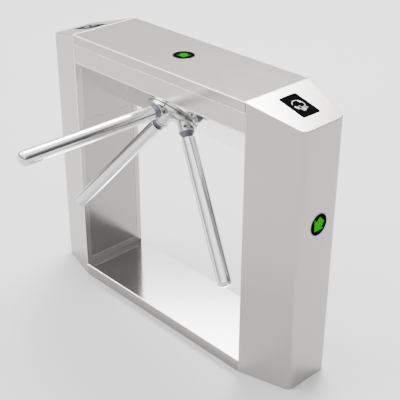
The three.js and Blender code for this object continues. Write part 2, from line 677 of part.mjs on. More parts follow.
// Electronics inside the beam
function controlBoard() {
  const board = box(-370, -190, 128, 130, 760, 900);
  const parts = [[-360, -320, 850, 890, 18], [-310, -270, 850, 880, 14], [-360, -200, 765, 778, 12],
    [-250, -205, 800, 850, 6], [-350, -310, 790, 830, 22]];
  const blocks = parts.map(([x0, x1, z0, z1, tall]) => box(x0, x1, 128.5 - tall, 128.5, z0, z1));
  const standoffs = [[-365, 765], [-365, 895], [-195, 765], [-195, 895]].map(([x, z]) =>
    box(x - 4, x + 4, 129, 137.7, z - 4, z + 4));
  return join(board, ...blocks, ...standoffs);
}

function powerSupply() {
  const can = box(200, 360, 48, 128, UNDERSIDE_Z + SHEET + FIT, 745);
  const terminals = box(196, 201, 56, 120, 708, 728);
  return join(can, terminals);
}

place("control_board", controlBoard(), boardGreen);
place("power_supply", powerSupply(), zinc);

export default turnstile;
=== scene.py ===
"""Studio model of a bridge-type tripod turnstile, built around its packed frame."""
import json
import math

import bmesh
import bpy
from bpy.props import FloatProperty, FloatVectorProperty, IntProperty, PointerProperty
from mathutils import Matrix, Vector


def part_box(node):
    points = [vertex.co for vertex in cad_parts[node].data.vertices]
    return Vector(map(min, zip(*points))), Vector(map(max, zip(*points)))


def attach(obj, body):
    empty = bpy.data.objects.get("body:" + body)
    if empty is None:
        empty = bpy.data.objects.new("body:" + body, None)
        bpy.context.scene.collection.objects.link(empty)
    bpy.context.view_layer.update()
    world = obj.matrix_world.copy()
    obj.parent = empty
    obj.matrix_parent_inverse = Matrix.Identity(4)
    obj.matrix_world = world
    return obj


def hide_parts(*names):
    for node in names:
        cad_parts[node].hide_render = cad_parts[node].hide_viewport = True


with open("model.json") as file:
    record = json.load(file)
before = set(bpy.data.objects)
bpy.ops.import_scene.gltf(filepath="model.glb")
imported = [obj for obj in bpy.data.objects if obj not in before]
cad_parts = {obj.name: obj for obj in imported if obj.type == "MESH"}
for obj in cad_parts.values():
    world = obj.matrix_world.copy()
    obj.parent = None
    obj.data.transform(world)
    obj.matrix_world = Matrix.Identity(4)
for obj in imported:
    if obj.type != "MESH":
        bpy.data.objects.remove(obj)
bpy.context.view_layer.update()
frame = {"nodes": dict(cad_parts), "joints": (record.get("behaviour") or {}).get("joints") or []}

bl_info = {
    "name": "Tripod Turnstile",
    "version": (1, 0, 0),
    "blender": (4, 5, 0),
    "location": "View3D > Sidebar > Turnstile",
    "description": "Builds a tripod turnstile with its cabinet, rotor, lamps, readers and mechanism",
    "category": "Object",
}

MM = 0.001
SIDES = (("right", 1), ("left", -1))
LIVE_BEND = math.radians(14.5)
SMOOTH_UNDER = math.radians(32)
FRAME_EDGE = 40

# Tripod, in millimetres along the tripod axis (w), across it (r) and along an arm (s)
APEX_BEHIND = 41
HUB_R = 93
HUB_BACK = 1
HUB_FRONT = 11
DOME_TOP = 16
LUG_R = 24.5
LUG_RIM_R = 27
LUG_START = 40
LUG_END = 103
SPIGOT_START = 80
SPIGOT_R = 16
NECK_R = 15.5
PIN_S = 89
TUBE_START = 124
TUBE_R = 24
TUBE_WALL = 1.5
TUBE_END = 615
ARM_END = 630
RIM_SCREW_LEAN = 21
ARMS = (("a", 0), ("b", 120), ("c", 240))

# Lamps, readers, bolts, locks and hinge, in millimetres
LAMP_R = 38
LAMP_PROUD = 0.6
LAMP_CLEAR = 8
TOP_ARROW_SCALE = 0.78
READER_HALF_LENGTH = 52.85
READER_HALF_WIDTH = 38
ICON_BOTTOM = 0.45
ICON_TOP = 0.62
BOLT_SPOTS = ((450, -90), (450, 90), (560, -55), (560, 55))
FLOOR_PLATE_TOP = 4.3
LOCK_Y = -92
LOCK_Z = 560
LEAF_THICKNESS = 1.5
LEAF_SCREW_RISE = 7
LEAF_SCREW_X = range(-340, 341, 85)
BOARD_FRONT = 128
BOARD_BACK = 130.2
CHIP_RISE = 0.4

# How edges and faces of the sheet metal are told apart: lengths in metres, shares of a unit vector
LONG_EDGE = 0.5
UPRIGHT_EDGE = 0.3
HEM_EDGE = 0.1
ALONG = 0.99
UPRIGHT = 0.95
SKYWARD = 0.9
SLOPING_DOWN = -0.6
COLUMN_TOP = 0.9
WINDOW_CLEAR = 0.09


def low(node):
    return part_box(node)[0]


def high(node):
    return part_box(node)[1]


def middle(node):
    return (low(node) + high(node)) / 2


def joint_named(name):
    return next(joint for joint in frame["joints"] if joint["name"] == name)


def frame_at(origin, outward, across=Vector((1, 0, 0))):
    """Placement whose Z points outward and whose X is across."""
    z_axis = Vector(outward).normalized()
    y_axis = z_axis.cross(across).normalized()
    x_axis = y_axis.cross(z_axis)
    turn = Matrix((x_axis, y_axis, z_axis)).transposed().to_4x4()
    return Matrix.Translation(origin) @ turn


ROTOR = joint_named("tripod_spin")
SLOPE = frame_at(Vector(ROTOR["pos_m"]), Vector(ROTOR["axis"]))
TOP_Z = high("top_lid").z
HALF_LENGTH = high("right_column_shell").x
HALF_DEPTH = high("top_lid").y
COLUMN_X = low("right_column_shell").x
PANE = frame["nodes"]["right_reader_window"].data.polygons
TOP_TILT = math.acos(min(1.0, max(face.normal.z for face in PANE)))


def arm_place(turn):
    """Placement of an arm: Z runs along it from the apex of the arms' cone."""
    lean = Matrix.Rotation(math.radians(-45), 4, "X")
    back = Matrix.Translation((0, 0, -APEX_BEHIND * MM))
    return SLOPE @ Matrix.Rotation(math.radians(-turn), 4, "Z") @ back @ lean


def pin_place(turn):
    """Placement of an arm's cross pin: Z runs along the pin."""
    across = Matrix.Rotation(math.pi / 2, 4, "Y")
    return arm_place(turn) @ Matrix.Translation((0, 0, PIN_S * MM)) @ across


# Modelling by hand: one function for each way of working

def deselect_everything():
    if bpy.context.object and bpy.context.object.mode != "OBJECT":
        bpy.ops.object.mode_set(mode="OBJECT")
    bpy.ops.object.select_all(action="DESELECT")


def pick(*objects):
    deselect_everything()
    for obj in objects:
        obj.select_set(True)
    bpy.context.view_layer.objects.active = objects[0]


def name_piece(obj, name):
    obj.name = name
    obj.data.name = name


def settle(obj, place=None):
    """Brings the object to the origin with its place in its mesh."""
    pick(obj)
    if place is not None:
        obj.matrix_world = place @ obj.matrix_world
    bpy.ops.object.transform_apply(location=True, rotation=True, scale=True)


def pen_line(name, points):
    """A line drawn point by point in edit mode, points in millimetres."""
    deselect_everything()
    corners = [Vector(point) * MM for point in points]
    bpy.ops.mesh.primitive_plane_add(size=MM, location=corners[0])
    obj = bpy.context.object
    name_piece(obj, name)
    bpy.ops.object.mode_set(mode="EDIT")
    bpy.ops.mesh.merge(type="CENTER")
    for here, there in zip(corners, corners[1:]):
        bpy.ops.mesh.extrude_region_move(TRANSFORM_OT_translate={"value": there - here})
    bpy.ops.mesh.select_all(action="SELECT")
    return obj


def face_outwards():
    """Turns the faces of the mesh in edit mode outwards and leaves edit mode."""
    bpy.ops.mesh.select_all(action="SELECT")
    bpy.ops.mesh.normals_make_consistent(inside=False)
    bpy.ops.object.mode_set(mode="OBJECT")


def turned(name, profile, place=None, steps=64):
    """A shape turned about Z from (radius, height) points."""
    obj = pen_line(name, [(r, 0, z) for r, z in profile])
    bpy.ops.mesh.spin(steps=steps, angle=2 * math.pi, center=(0, 0, 0), axis=(0, 0, 1))
    bpy.ops.mesh.select_all(action="SELECT")
    bpy.ops.mesh.remove_doubles(threshold=MM / 500)
    face_outwards()
    settle(obj, place)
    return obj


def prism(name, outline, start, end, place=None):
    """An outline in XY, drawn, filled and extruded along Z."""
    obj = pen_line(name, [(x, y, start) for x, y in outline])
    bpy.ops.mesh.edge_face_add()
    bpy.ops.mesh.extrude_region_move(TRANSFORM_OT_translate={"value": (0, 0, (end - start) * MM)})
    face_outwards()
    settle(obj, place)
    return obj


def block(name, lows, highs, place=None, bevel=0.4):
    """A bevelled block between two corners."""
    deselect_everything()
    first, last = Vector(lows) * MM, Vector(highs) * MM
    bpy.ops.mesh.primitive_cube_add(size=1, location=(first + last) / 2, scale=last - first)
    obj = bpy.context.object
    name_piece(obj, name)
    bpy.ops.object.transform_apply(location=True, rotation=True, scale=True)
    bpy.ops.object.mode_set(mode="EDIT")
    bpy.ops.mesh.select_all(action="SELECT")
    bpy.ops.mesh.bevel(offset=bevel * MM, segments=2, affect="EDGES")
    bpy.ops.object.mode_set(mode="OBJECT")
    settle(obj, place)
    return obj


def arc(cx, cy, r, start, end, steps):
    angles = [math.radians(start + (end - start) * i / steps) for i in range(steps + 1)]
    return [(cx + r * math.cos(angle), cy + r * math.sin(angle)) for angle in angles]


def rounded_rectangle(half_x, half_y, r, steps=8):
    corners = ((1, 1, 0), (-1, 1, 90), (-1, -1, 180), (1, -1, 270))
    return [point for sx, sy, start in corners
            for point in arc(sx * (half_x - r), sy * (half_y - r), r, start, start + 90, steps)]


def use_modifier(obj, kind, **settings):
    pick(obj)
    modifier = obj.modifiers.new(kind.lower(), kind)
    for key, value in settings.items():
        setattr(modifier, key, value)
    bpy.ops.object.modifier_apply(modifier=modifier.name)


def boolean(obj, operation, tools):
    for tool in tools:
        use_modifier(obj, "BOOLEAN", operation=operation, solver="EXACT", object=tool)
        bpy.data.objects.remove(tool)


def soften(obj, width, segments=2, limit=30):
    """Rounds the edges a little and shades the rest smooth."""
    use_modifier(obj, "BEVEL", width=width * MM, segments=segments, limit_method="ANGLE",
                 angle_limit=math.radians(limit), use_clamp_overlap=True, miter_outer="MITER_ARC")
    shade(obj)


def shade(obj):
    pick(obj)
    bpy.ops.object.shade_smooth_by_angle(angle=SMOOTH_UNDER)
    use_modifier(obj, "WEIGHTED_NORMAL", keep_sharp=True)


def from_frame(node, name):
    """A merged copy of a frame node's solid, ready to be refined."""
    obj = bpy.data.objects.new(name, frame["nodes"][node].data.copy())
    obj.data.name = name
    bpy.context.scene.collection.objects.link(obj)
    pick(obj)
    bpy.ops.object.mode_set(mode="EDIT")
    bpy.ops.mesh.select_all(action="SELECT")
    bpy.ops.mesh.customdata_custom_splitnormals_clear()
    bpy.ops.mesh.remove_doubles(threshold=MM / 200)
    bpy.ops.mesh.dissolve_limited(angle_limit=math.radians(1))
    bpy.ops.object.mode_set(mode="OBJECT")
    return obj


def bend_edges(obj, wanted, radius):
    """Rounds the edges that wanted accepts, as a press brake does, and gives them the second finish, a
    lighter tone of the steel that paints a highlight along each bend.
    """
    pick(obj)
    bpy.ops.object.mode_set(mode="EDIT")
    bpy.ops.mesh.select_mode(type="EDGE")
    bpy.ops.mesh.select_all(action="DESELECT")
    mesh = bmesh.from_edit_mesh(obj.data)
    for edge in mesh.edges:
        live = len(edge.link_faces) == 2 and edge.calc_face_angle(0) > LIVE_BEND
        edge.select = live and wanted(edge)
    mesh.select_flush_mode()
    bmesh.update_edit_mesh(obj.data)
    bpy.ops.mesh.bevel(offset=radius, segments=4, affect="EDGES", clamp_overlap=True)
    bpy.ops.object.mode_set(mode="OBJECT")
    bpy.context.tool_settings.mesh_select_mode = (True, False, False)
    for face in obj.data.polygons:
        if face.select:
            face.material_index = 1


def edge_middle(edge):
    return (edge.verts[0].co + edge.verts[1].co) / 2


def edge_way(edge):
    return (edge.verts[1].co - edge.verts[0].co).normalized()


def runs_along(edge):
    """Whether an edge runs along the cabinet."""
    return abs(edge_way(edge).x) > ALONG


def skyward(edge):
    """Whether an edge borders a level top face."""
    return max(face.normal.z for face in edge.link_faces) > SKYWARD


def copy_piece(obj, name, place):
    """A copy with its own mesh, moved by place."""
    twin = obj.copy()
    twin.data = obj.data.copy()
    bpy.context.scene.collection.objects.link(twin)
    name_piece(twin, name)
    twin.matrix_world = place
    settle(twin)
    if place.determinant() < 0:
        pick(twin)
        bpy.ops.object.mode_set(mode="EDIT")
        face_outwards()
    return twin


def merged(name, objects):
    """Several objects as one piece."""
    pick(*objects)
    bpy.ops.object.join()
    obj = bpy.context.object
    name_piece(obj, name)
    return obj


def wear(obj, *finishes):
    """Puts finishes, given by name, in a piece's material slots."""
    obj.data.materials.clear()
    for finish in finishes:
        obj.data.materials.append(FINISHES[finish])


def hand_over(obj, body, nodes=(), finish=None):
    """Gives a finished piece its body, finish and the nodes it stands for."""
    if finish is not None:
        wear(obj, finish)
    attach(obj, body)
    if nodes:
        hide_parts(*nodes)


def refined(node, body, finish, edge, segments=2):
    """A frame node's solid with its edges softened, handed over with its finish."""
    piece = from_frame(node, f"{node}_fine")
    soften(piece, edge, segments, FRAME_EDGE)
    hand_over(piece, body, [node], finish)
    return piece


def folded(node, name, body, finishes, folds, edge, third=None):
    """A sheet-metal piece with rounded folds and soft cut edges; third picks faces by their normal."""
    piece = from_frame(node, name)
    wear(piece, *finishes)
    for wanted, radius in folds:
        bend_edges(piece, wanted, radius)
    soften(piece, edge / MM, 2, FRAME_EDGE)
    for face in piece.data.polygons:
        if third is not None and third(face.normal):
            face.material_index = 2
    hand_over(piece, body, [node])


def scattered(name, part, places, body, finish):
    """Hands over one piece made of copies of a small part."""
    copies = [copy_piece(part, f"{name}_{i}", place) for i, place in enumerate(places)]
    bpy.data.objects.remove(part)
    hand_over(merged(name, copies), body, (), finish)


def cap_screw(name, head_r, head_height, shank_r, shank):
    """Hexagon socket cap screw, head up from the origin, shank down."""
    bevel = head_r * 0.12
    profile = [(0, -shank), (shank_r - 0.3, -shank), (shank_r, -shank + 0.3), (shank_r, 0), (head_r, 0),
               (head_r, head_height - bevel), (head_r - bevel, head_height), (0, head_height)]
    screw = turned(name, profile, steps=24)
    key = head_r * 0.5
    hexagon = arc(0, 0, key, 0, 300, 5)
    socket = prism("socket", hexagon, head_height * 0.4, head_height + 1)
    boolean(screw, "DIFFERENCE", [socket])
    shade(screw)
    return screw


# Shader maths

class Sock:
    """A node's output that takes part in arithmetic."""

    def __init__(self, finish, socket):
        self.finish = finish
        self.socket = socket

    def maths(self, operation, first, second):
        return self.finish.node("ShaderNodeMath", {"operation": operation}, {0: first, 1: second})

    def __add__(self, other):
        return self.maths("ADD", self, other)

    def __sub__(self, other):
        return self.maths("SUBTRACT", self, other)

    def __rsub__(self, other):
        return self.maths("SUBTRACT", other, self)

    def __mul__(self, other):
        return self.maths("MULTIPLY", self, other)

    def __lt__(self, other):
        return self.maths("LESS_THAN", self, other)

    __radd__ = __add__
    __rmul__ = __mul__


class Finish:
    """One material, or the sky, put together node by node."""

    def __init__(self, name, world=None):
        self.material = world or bpy.data.materials.new(name)
        self.material.use_nodes = True
        self.tree = self.material.node_tree
        self.tree.nodes.clear()

    def node(self, kind, settings=None, inputs=None, output=0):
        """Adds a node: first its settings, then the values or links of its sockets."""
        made = self.tree.nodes.new(kind)
        for key, value in (settings or {}).items():
            if key != "stops":
                setattr(made, key, value)
                continue
            stops = made.color_ramp.elements
            for index, (position, tone) in enumerate(value):
                stop = stops[index] if index < 2 else stops.new(position)
                stop.position = position
                stop.color = (*tone, 1)
        for key, value in (inputs or {}).items():
            if isinstance(value, Sock):
                self.tree.links.new(value.socket, made.inputs[key])
            else:
                made.inputs[key].default_value = value
        return Sock(self, made.outputs[output]) if made.outputs else None

    def place(self, stretch=(1, 1, 1), turn=(0, 0, 0)):
        """Object coordinates, stretched and turned."""
        where = self.node("ShaderNodeTexCoord", output=3)
        return self.node("ShaderNodeMapping", {}, {"Vector": where, "Scale": stretch, "Rotation": turn})

    def noise(self, where, scale, detail=2.0, roughness=0.5):
        return self.node("ShaderNodeTexNoise", {},
                         {"Vector": where, "Scale": scale, "Detail": detail, "Roughness": roughness})

    def blend(self, share, first, second):
        """Mixes two colours, each given as a link or as red, green and blue."""
        first = first if isinstance(first, Sock) else (*first, 1)
        second = second if isinstance(second, Sock) else (*second, 1)
        return self.node("ShaderNodeMix", {"data_type": "RGBA"}, {0: share, 6: first, 7: second}, output=2)

    def ramp(self, share, stops):
        return self.node("ShaderNodeValToRGB", {"stops": stops}, {0: share})

    def rise(self, value, start, end):
        """0 below start, 1 above end, smooth between."""
        return self.node("ShaderNodeMapRange", {"interpolation_type": "SMOOTHSTEP"},
                         {0: value, 1: start, 2: end, 3: 0.0, 4: 1.0})

    def bump(self, height, distance, strength=1.0):
        return self.node("ShaderNodeBump", {},
                         {"Height": height, "Distance": distance * MM, "Strength": strength})

    def surface(self, **sockets):
        """The material of a solid surface, with its sockets named in lower case."""
        named = {key.replace("_", " ").title().replace("Ior", "IOR"): value
                 for key, value in sockets.items()}
        shader = self.node("ShaderNodeBsdfPrincipled", {}, named)
        return self.close(shader, "ShaderNodeOutputMaterial")

    def close(self, shader, kind):
        self.node(kind, {}, {"Surface": shader})
        return self.material


def toned(color, share):
    """The colour made darker or lighter."""
    return tuple(channel * share for channel in color)


def brushed_metal(name, color, roughness, along, grain=900, depth=0.03):
    """Sheet steel with a fine grain along one axis, faint rolling bands and handling marks."""
    finish = Finish(name)
    stretch = [grain] * 3
    stretch[along] = grain / 150
    bands = [24.0] * 3
    bands[along] = 0.8
    streaks = finish.noise(finish.place(stretch), 1.0, 3.0, 0.6)
    rolled = finish.noise(finish.place(bands), 1.0, 2.0)
    marks = finish.noise(finish.place(), 9.0, 4.0, 0.62)
    share = streaks * 0.7 + rolled * 0.3
    return finish.surface(
        base_color=finish.blend(share, toned(color, 0.9), color),
        metallic=1.0,
        roughness=streaks * 0.06 + rolled * 0.03 + marks * 0.06 + (roughness - 0.075),
        normal=finish.bump(streaks, depth, 0.5))


def mirror_metal(name, color, roughness, smear=0.05):
    """Polished steel or chrome with faint buffing swirls and wiping marks."""
    finish = Finish(name)
    wiped = finish.noise(finish.place((1, 1, 1)), 14.0, 3.0, 0.6)
    hairs = finish.noise(finish.place((60, 60, 900), (0.5, 0.4, 0.2)), 1.0, 2.0)
    return finish.surface(
        base_color=finish.blend(wiped, toned(color, 0.96), color),
        metallic=1.0,
        roughness=wiped * smear + hairs * 0.02 + (roughness - smear / 2),
        normal=finish.bump(hairs, 0.004, 0.3))


def grained(finish, color, shade_of, fine, cloud, roughness, spread, bump, **sockets):
    """Cloudy tone and sheen under a fine tooth, which cast, turned and painted surfaces share."""
    by_fine, by_cloud = spread
    return finish.surface(
        base_color=finish.blend(cloud, toned(color, shade_of), color),
        roughness=fine * by_fine + cloud * by_cloud + (roughness - (by_fine + by_cloud) / 2),
        normal=finish.bump(fine, *bump), **sockets)


def cast_metal(name, color, roughness, grain=420, depth=0.05):
    """Machined or plated metal with a fine even tooth."""
    finish = Finish(name)
    tooth = finish.noise(finish.place(), grain, 3.0, 0.6)
    cloud = finish.noise(finish.place(), 26.0, 3.0)
    return grained(finish, color, 0.86, tooth, cloud, roughness, (0.10, 0.10), (depth, 0.4), metallic=1.0)


def turned_metal(name, color, roughness):
    """Lathe-turned steel in the slanted mechanism, with fine tool rings across the spin axis."""
    finish = Finish(name)
    rings = finish.noise(finish.place((3, 1600, 1600), (math.radians(45), 0, 0)), 1.0, 2.0)
    cloud = finish.noise(finish.place(), 60.0, 3.0)
    return grained(finish, color, 0.8, rings, cloud, roughness, (0.08, 0.08), (0.02, 0.5), metallic=1.0)


def painted(name, color, roughness, speck=700, depth=0.02, metallic=0.0, coat=0.0):
    """Moulded or painted surface with a fine texture and slight mottling."""
    finish = Finish(name)
    skin = finish.noise(finish.place(), speck, 3.0, 0.6)
    cloud = finish.noise(finish.place(), 18.0, 3.0)
    return grained(finish, color, 0.8, skin, cloud, roughness, (0.10, 0.08), (depth, 0.5),
                   metallic=metallic, coat_weight=coat)


def glass_black(name, color):
    """Gloss black lens with dust and faint wiping arcs."""
    finish = Finish(name)
    dust = finish.noise(finish.place(), 900.0, 2.0, 0.7)
    wiped = finish.noise(finish.place(), 30.0, 3.0)
    specks = finish.node("ShaderNodeMapRange", {}, {0: dust, 1: 0.68, 2: 0.8, 3: 0.0, 4: 1.0})
    return finish.surface(
        base_color=finish.blend(specks, color, (0.012, 0.012, 0.012)),
        roughness=wiped * 0.08 + specks * 0.2 + 0.12,
        specular_ior_level=0.0,
        normal=finish.bump(wiped, 0.01, 0.2))


def lit_dots(name, color, strength, pitch=2.6):
    """Diffused lamp face with the pitch of its light sources showing faintly."""
    finish = Finish(name)
    dots = finish.node("ShaderNodeTexVoronoi", {"feature": "F1"},
                       {"Vector": finish.place(), "Scale": 1000 / pitch, "Randomness": 0.0})
    glow = finish.blend(dots, color, toned(color, 0.45))
    return finish.surface(
        base_color=finish.blend(dots, toned(color, 0.05), toned(color, 0.02)),
        roughness=finish.noise(finish.place(), 40.0) * 0.1 + 0.3,
        emission_color=glow, emission_strength=strength, specular_ior_level=0.0)


def board_green(name):
    """Solder mask over copper tracks, with plated holes."""
    finish = Finish(name)
    tracks = finish.node("ShaderNodeTexBrick", {"offset": 0.37}, {
        "Vector": finish.place((1, 1, 1), (math.radians(90), 0, 0)), "Scale": 90.0,
        "Color1": (0, 0, 0, 1), "Color2": (0, 0, 0, 1), "Mortar": (1, 1, 1, 1), "Mortar Size": 0.03})
    holes = finish.node("ShaderNodeTexVoronoi", {"feature": "F1"},
                        {"Vector": finish.place(), "Scale": 190.0, "Randomness": 0.6})
    pads = holes < 0.16
    mask = finish.blend(tracks, (0.012, 0.085, 0.035), (0.03, 0.2, 0.08))
    return finish.surface(
        base_color=finish.blend(pads, mask, (0.75, 0.68, 0.42)),
        metallic=pads * 1.0, roughness=pads * -0.1 + 0.42, normal=finish.bump(tracks, 0.05, 0.6))


def pale_floor(name, color):
    finish = Finish(name)
    mottle = finish.noise(finish.place(), 3.0, 4.0)
    fine = finish.noise(finish.place(), 140.0, 2.0)
    return finish.surface(base_color=finish.blend(mottle, toned(color, 0.985), color),
                          roughness=fine * 0.1 + 0.6)


FINISHES = {}


def make_finishes(settings):
    steel = tuple(settings.steel_color)
    chrome = tuple(settings.chrome_color)
    rough = settings.brush_roughness
    FINISHES.update({
        "top_sheet": brushed_metal("brushed_lid_sheet", steel, rough - 0.05, 0),
        # A lighter copy of the same steel for the beam: painted light on the fascia.
        "beam_painted_light_sheet": brushed_metal("brushed_beam_painted_light", toned(steel, 1.12), rough - 0.04, 0),
        "column_sheet": brushed_metal("brushed_column_sheet", steel, rough, 2),
        # A darker copy of the same steel: painted shade on the doors and covers of the columns' inner faces
        # and on the plinth's upright faces.
        "door_painted_shade_sheet": brushed_metal("brushed_door_painted_shade", toned(steel, 0.8), rough - 0.04, 2),
        # A lighter copy of the steel for the rounded bends: a painted highlight along each bend.
        "bend_highlight_sheet": brushed_metal("painted_highlight_bend", toned(steel, 1.9), rough - 0.04, 0),
        "mirror_sheet": mirror_metal("polished_sheet", chrome, 0.06),
        "plinth_sheet": mirror_metal("polished_plinth_sheet", toned(chrome, 0.9), 0.09),
        "chrome": mirror_metal("bright_chrome", toned(chrome, 0.74), 0.12, 0.04),
        "hub": cast_metal("satin_hub_steel", tuple(settings.hub_color), 0.24, 300, 0.03),
        "slate": painted("slate_collar_paint", tuple(settings.collar_color), 0.38, metallic=0.35),
        "dark_steel": cast_metal("blackened_screw_steel", (0.1, 0.1, 0.105), 0.38),
        "machined": turned_metal("turned_steel", (0.44, 0.44, 0.45), 0.28),
        "zinc": cast_metal("zinc_plate", (0.58, 0.6, 0.62), 0.34, 500),
        "brass": turned_metal("machined_brass", (0.68, 0.49, 0.2), 0.28),
        "lens": glass_black("gloss_black_lens", (0.002, 0.002, 0.0022)),
        "rim": painted("dark_rim", (0.02, 0.02, 0.021), 0.3),
        "arrow_end": lit_dots("green_arrow_side", tuple(settings.arrow_color), settings.arrow_glow),
        "arrow_top": lit_dots("green_arrow_top", tuple(settings.arrow_color), settings.arrow_glow * 1.15),
        "icon": painted("grey_icon_print", (0.42, 0.43, 0.44), 0.3, coat=0.5),
        "plastic": painted("black_moulding", (0.018, 0.018, 0.02), 0.45, 900, 0.04),
        "board": board_green("circuit_board_mask"),
        "chip": painted("chip_moulding", (0.02, 0.02, 0.022), 0.5, 1500, 0.02),
        "white_plastic": painted("natural_nylon", (0.72, 0.7, 0.64), 0.45),
    })


# Settings

class StudioSettings(bpy.types.PropertyGroup):
    """Camera, floor and light."""

    azimuth: FloatProperty(name="Azimuth", description="Turn of the camera round the turnstile",
                           default=math.radians(46.27), subtype="ANGLE")
    elevation: FloatProperty(name="Elevation", description="Height angle of the camera",
                             default=math.radians(28.71), subtype="ANGLE")
    roll: FloatProperty(name="Roll", description="Roll of the camera",
                        default=math.radians(0.24), subtype="ANGLE")
    place: FloatVectorProperty(name="Place", description="Where the camera stands",
                               default=(2.09142, -1.92506, 2.00029), subtype="TRANSLATION", unit="LENGTH")
    lens: FloatProperty(name="Lens", description="Focal length on a 36 mm sensor", default=82.69,
                        unit="CAMERA")
    floor_color: FloatVectorProperty(name="Floor", description="Tone of the floor",
                                     default=(0.40, 0.40, 0.40), subtype="COLOR", min=0, max=1)
    dome_light: FloatProperty(name="Dome light", description="Brightness of the dome", default=2.3, min=0)
    box_light: FloatProperty(name="Box light", description="Brightness of the soft box", default=12.5, min=0)
    lamp_power: FloatProperty(name="Lamp power", description="Power of the lamp behind", default=460, min=0,
                              unit="POWER")


class CabinetSettings(bpy.types.PropertyGroup):
    """Sheet metal of the cabinet."""

    bend_radius: FloatProperty(name="Bend radius", description="Radius of the folded edges",
                               default=3.2 * MM, min=0.2 * MM, max=6 * MM, unit="LENGTH")
    seam_radius: FloatProperty(name="Seam radius", description="Rounding of the beam under the lid",
                               default=1.7 * MM, min=0.2 * MM, max=1.9 * MM, unit="LENGTH")
    hem_radius: FloatProperty(name="Hem radius", description="Rounding of the doors' outline",
                              default=1.3 * MM, min=0.2 * MM, max=1.8 * MM, unit="LENGTH")
    edge: FloatProperty(name="Edge", description="Rounding of cut edges",
                        default=0.35 * MM, min=0.05 * MM, max=0.9 * MM, unit="LENGTH")
    bolt_head: FloatProperty(name="Anchor bolt head", description="Radius of an anchor bolt's head",
                             default=9.5 * MM, min=6 * MM, max=12 * MM, unit="LENGTH")


class TripodSettings(bpy.types.PropertyGroup):
    """Fineness of the tripod's turned pieces."""

    turns: IntProperty(name="Segments", description="Steps round a turned piece", default=72, min=24, max=160)
    edge: FloatProperty(name="Edge", description="Rounding of machined edges",
                        default=0.6 * MM, min=0.1 * MM, max=1.5 * MM, unit="LENGTH")


class FinishSettings(bpy.types.PropertyGroup):
    """Colours and sheen."""

    steel_color: FloatVectorProperty(name="Steel", description="Colour of the sheet steel",
                                     default=(0.435, 0.417, 0.402), subtype="COLOR", min=0, max=1)
    chrome_color: FloatVectorProperty(name="Chrome", description="Colour of the polished metal",
                                      default=(0.86, 0.86, 0.86), subtype="COLOR", min=0, max=1)
    hub_color: FloatVectorProperty(name="Hub", description="Colour of the hub casting",
                                   default=(0.55, 0.55, 0.545), subtype="COLOR", min=0, max=1)
    collar_color: FloatVectorProperty(name="Collar", description="Colour of the arm collars",
                                      default=(0.115, 0.115, 0.145), subtype="COLOR", min=0, max=1)
    arrow_color: FloatVectorProperty(name="Arrow", description="Colour of the lit arrows",
                                     default=(0.0, 0.52, 0.0), subtype="COLOR", min=0, max=1)
    arrow_glow: FloatProperty(name="Arrow glow", description="Brightness of the lit arrows", default=1.15)
    brush_roughness: FloatProperty(name="Brushing", description="Roughness of the brushed sheet",
                                   default=0.25, min=0.1, max=0.6)


SETTINGS = {"turnstile_studio": StudioSettings, "turnstile_cabinet": CabinetSettings,
            "turnstile_tripod": TripodSettings, "turnstile_finish": FinishSettings}


# Operators

class TURNSTILE_OT_finishes(bpy.types.Operator):
    """Make every material of the turnstile"""

    bl_idname = "turnstile.finishes"
    bl_label = "Finishes"

    def execute(self, context):
        make_finishes(context.scene.turnstile_finish)
        return {"FINISHED"}


